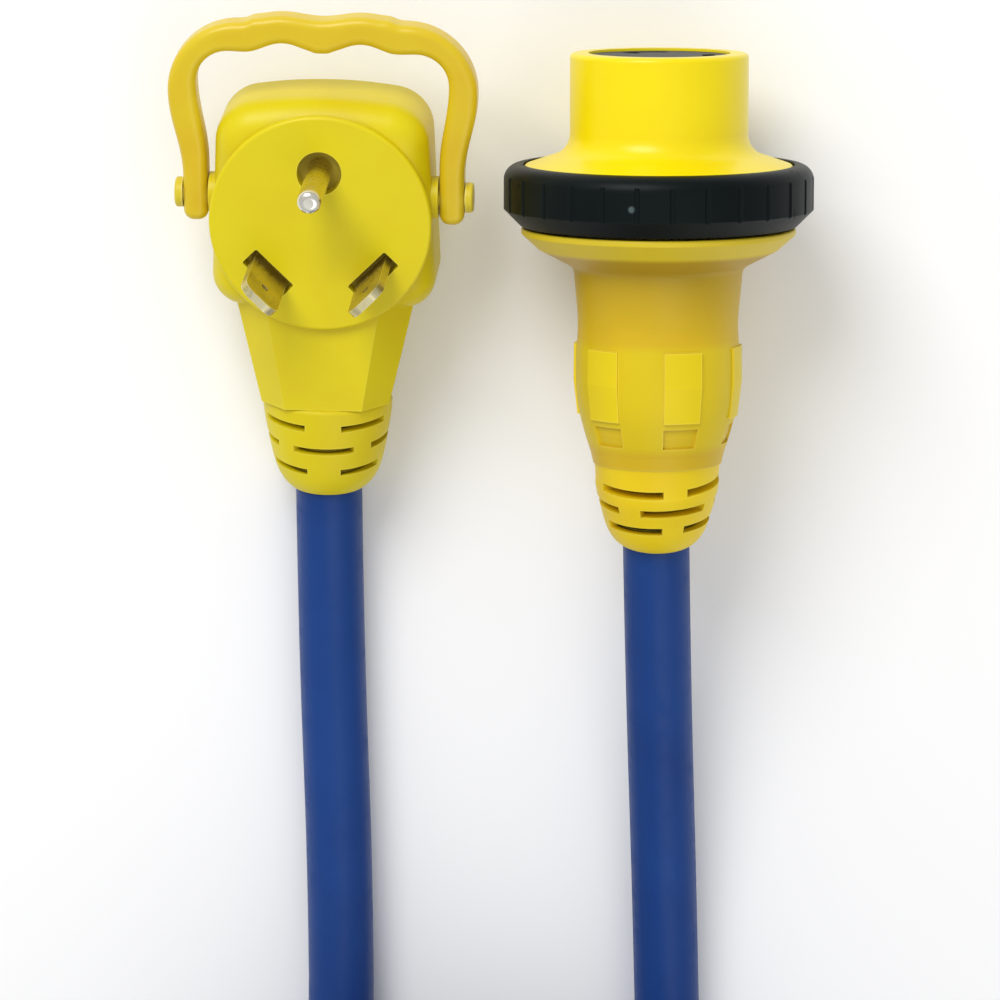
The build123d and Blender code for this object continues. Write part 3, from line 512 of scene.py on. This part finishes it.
def grip_material():
    """Amber vinyl, with a brighter yellow band and pads that are partly its own two tones and partly painted
    light; painted shade under the bell, down the neck below the ring and in the sunk windows, and a painted
    highlight on the bell's rim.
    """
    begun = start("grip", Specular_IOR_Level=0.3)
    tree, place = begun[1], begun[3]
    along, _, beside = about_axis(tree, place, CONNECTOR_MIDDLE, CONNECTOR_OUT)
    parts = add(tree, "SeparateXYZ", {0: beside}).outputs
    angle = maths(tree, "ARCTAN2", parts[2], parts[0])
    turned = maths(tree, "SUBTRACT", angle, PAD_MIDDLE)
    waves = maths(tree, "COSINE", maths(tree, "MULTIPLY", turned, float(PADS)))
    pad_side = cos(PADS * PAD_HALF)
    on_pad_angle = ranged(tree, waves, pad_side - PAD_SOFT, pad_side + PAD_SOFT)
    pad = maths(tree, "MULTIPLY", on_pad_angle, band(tree, along, *PADS_FROM_TO, 0.0002))
    painted_window_shade = maths(tree, "MULTIPLY", on_pad_angle, band(tree, along, *PAINTED_WINDOW_SHADE_FROM_TO, 0.0002))
    yellow_band = band(tree, along, *YELLOW_BAND_FROM_TO, 0.0012)
    painted_highlight_on_lip = ranged(tree, along, *PAINTED_HIGHLIGHT_ON_LIP_FROM_TO)
    painted_shade_under_bell = band(tree, along, *PAINTED_SHADE_UNDER_BELL_FROM_TO, 0.0010)
    painted_shade_down_waist = ranged(tree, along, *PAINTED_SHADE_DOWN_WAIST_FROM_TO)
    # painted shade down the neck below the ring and darkest under the bell, and a painted highlight on the
    # bell's rim
    colour = mixed(tree, painted_shade_down_waist, (0.52, 0.345, 0.012), (0.66, 0.440, 0.008))
    colour = mixed(tree, painted_shade_under_bell, colour, (0.47, 0.300, 0.016))
    colour = mixed(tree, painted_highlight_on_lip, colour, (0.70, 0.53, 0.020))
    # brighter yellow band and pads, partly painted light
    colour = mixed(tree, yellow_band, colour, (0.70, 0.525, 0.004))
    colour = mixed(tree, pad, colour, (0.78, 0.600, 0.002))
    # painted shade in the sunk windows
    colour = mixed(tree, painted_window_shade, colour, (0.68, 0.485, 0.006))
    deep = add(tree, "HueSaturation", {"Value": 0.93, "Color": colour}).outputs[0]
    pale = add(tree, "HueSaturation", {"Value": 1.12, "Saturation": 0.94, "Color": colour}).outputs[0]
    return mould(begun, colour, deep, pale, rough=0.42, wear=0.7)


DOT_AT = (0.0335, 0.0214, 0.0755)  # a small pale dot on the ring's outside
DOT_RADIUS = (0.0010, 0.0005)     # where it has faded out, and where it is at its palest


def ring_material():
    begun = start("ring", Specular_IOR_Level=0.12)
    tree, place = begun[1], begun[3]
    far = add(tree, "VectorMath", {0: place, 1: DOT_AT}, operation="DISTANCE").outputs["Value"]
    dot = ranged(tree, far, *DOT_RADIUS)
    colour = mixed(tree, dot, (0.0016, 0.0048, 0.0048), (0.075, 0.105, 0.105))
    deep, pale = (0.0010, 0.0034, 0.0042), (0.008, 0.015, 0.012)
    return mould(begun, colour, deep, pale, rough=0.42, grain=700.0, relief=0.00005, wear=0.5)


barrel = moulded(
    "connector_shell", (0.90, 0.725, 0.0), (0.88, 0.690, 0.0), (0.94, 0.82, 0.06),
    rough=0.30, coat=0.05, wear=0.35,
)
insert = moulded("insert", (0.020, 0.020, 0.020), (0.012, 0.012, 0.012), (0.06, 0.06, 0.06), rough=0.5)
NO_TIP = 0.5                      # farther along the plug's axis than any socket
socket_metal = contact_metal(
    "socket_metal", (0.70, 0.52, 0.24), (0.50, 0.34, 0.14), (0.70, 0.52, 0.24),
    tip_at=NO_TIP, rough=0.30, squeeze=(1.0, 0.06, 1.0),
)
# Painted shade in the relief's slots, near black in the last rows.
connector_relief = relief_material(
    "connector_relief", (0.84, 0.620, 0.003), (0.80, 0.565, 0.003),
    origin=Vector(CONNECTOR_EXIT) - CONNECTOR_RELIEF_LENGTH * connector_relief_out,
    out=connector_relief_out,
    slot_shade_colours=((0.24, 0.165, 0.004), (0.020, 0.012, 0.003)), darker_shade_from=0.0118, slots_until=0.0180,
)


# ------------------------------------------------------------------ materials of the cord and its ties
DRAWING_LINES = (900.0, 40.0, 1.0)          # noise cells over the cord's length, and round it


def cord_jacket():
    """Blue vinyl jacket: faint drawing lines along it, cloudy colour and dull handling marks."""
    material, tree, shader, place = start("cord_jacket", Specular_IOR_Level=0.22)
    along = add(tree, "TexCoord").outputs["UV"]
    stretched = add(tree, "Mapping", {"Vector": along, "Scale": DRAWING_LINES}).outputs[0]
    lines = noise(tree, stretched, 1.0, 2.0)
    cloud = ranged(tree, noise(tree, place, 30.0, 4.0), 0.35, 0.68)
    base = mixed(tree, cloud, (0.0075, 0.0485, 0.222), (0.0060, 0.0390, 0.188))
    tree.links.new(base, shader.inputs["Base Color"])
    marks = ranged(tree, noise(tree, place, 180.0, 5.0, 0.65), 0.5, 0.75)
    tree.links.new(ranged(tree, marks, 0.0, 1.0, 0.42, 0.60), shader.inputs["Roughness"])
    first = bump(tree, shader, lines, 0.00004, 0.5)
    bump(tree, shader, noise(tree, place, 700.0, 3.0), 0.00004, 0.6, first)
    return material


THREADS_PER_METRE = 900.0


def webbing():
    """Black hook-and-loop webbing: a plain weave under short fuzz."""
    material, tree, shader, place = start("tie_webbing", Sheen_Weight=0.08, Sheen_Roughness=0.5,
                                          Specular_IOR_Level=0.15)
    x, y, z = add(tree, "SeparateXYZ", {0: place}).outputs
    turns = 2 * pi * THREADS_PER_METRE
    warp = maths(tree, "SINE", maths(tree, "MULTIPLY", y, turns))
    weft = maths(tree, "SINE", maths(tree, "MULTIPLY", maths(tree, "ADD", x, z), turns))
    weave = maths(tree, "MULTIPLY", warp, weft)
    fuzz = noise(tree, place, 1600.0, 4.0, 0.7)
    worn = ranged(tree, noise(tree, place, 60.0, 4.0), 0.40, 0.68)
    base = mixed(tree, worn, (0.009, 0.009, 0.010), (0.018, 0.018, 0.020))
    base = mixed(tree, ranged(tree, weave, -1.0, 1.0, 0.0, 0.5), base, (0.003, 0.003, 0.004))
    tree.links.new(base, shader.inputs["Base Color"])
    tree.links.new(ranged(tree, fuzz, 0.3, 0.7, 0.75, 0.95), shader.inputs["Roughness"])
    first = bump(tree, shader, weave, 0.00018, 0.8)
    bump(tree, shader, fuzz, 0.0002, 0.5, first)
    return material


def dress(material, *names):
    """Give CAD nodes a finished material in place of their plain one."""
    for name in names:
        mesh = nodes[name].data
        mesh.materials.clear()
        mesh.materials.append(material)


dress(shell, "plug_housing")
dress(face, "plug_face")
dress(carrier, "contact_carrier")
dress(blade_metal, "line_blade", "neutral_blade")
dress(pin_metal, "ground_pin")
dress(plug_relief, "plug_strain_relief")
dress(core, "plug_cable_end", "connector_cable_end")
dress(wire_black, "plug_wire_line", "connector_wire_line")
dress(wire_white, "plug_wire_neutral", "connector_wire_neutral")
dress(wire_green, "plug_wire_ground", "connector_wire_ground")
dress(handle, "handle")
dress(pivot, "handle_pin_left", "handle_pin_right")
dress(barrel, "connector_body")
dress(insert, "connector_insert")
dress(socket_metal, "socket_line", "socket_neutral", "socket_ground")
dress(ring_material(), "lock_ring")
dress(grip_material(), "connector_grip")
dress(connector_relief, "connector_strain_relief")
cord_curve.materials.append(cord_jacket())
strap_finish = webbing()
for tie in ties:
    tie.data.materials.append(strap_finish)

floor_finish, floor_tree, floor_shader, floor_place = start("floor", Roughness=0.9, Specular_IOR_Level=0.1)
floor_speckle = ranged(floor_tree, noise(floor_tree, floor_place, 6.0, 3.0), 0.3, 0.7)
floor_tree.links.new(mixed(floor_tree, floor_speckle, (0.955, 0.955, 0.955), (0.965, 0.965, 0.965)),
                     floor_shader.inputs["Base Color"])
floor_mesh.materials.append(floor_finish)
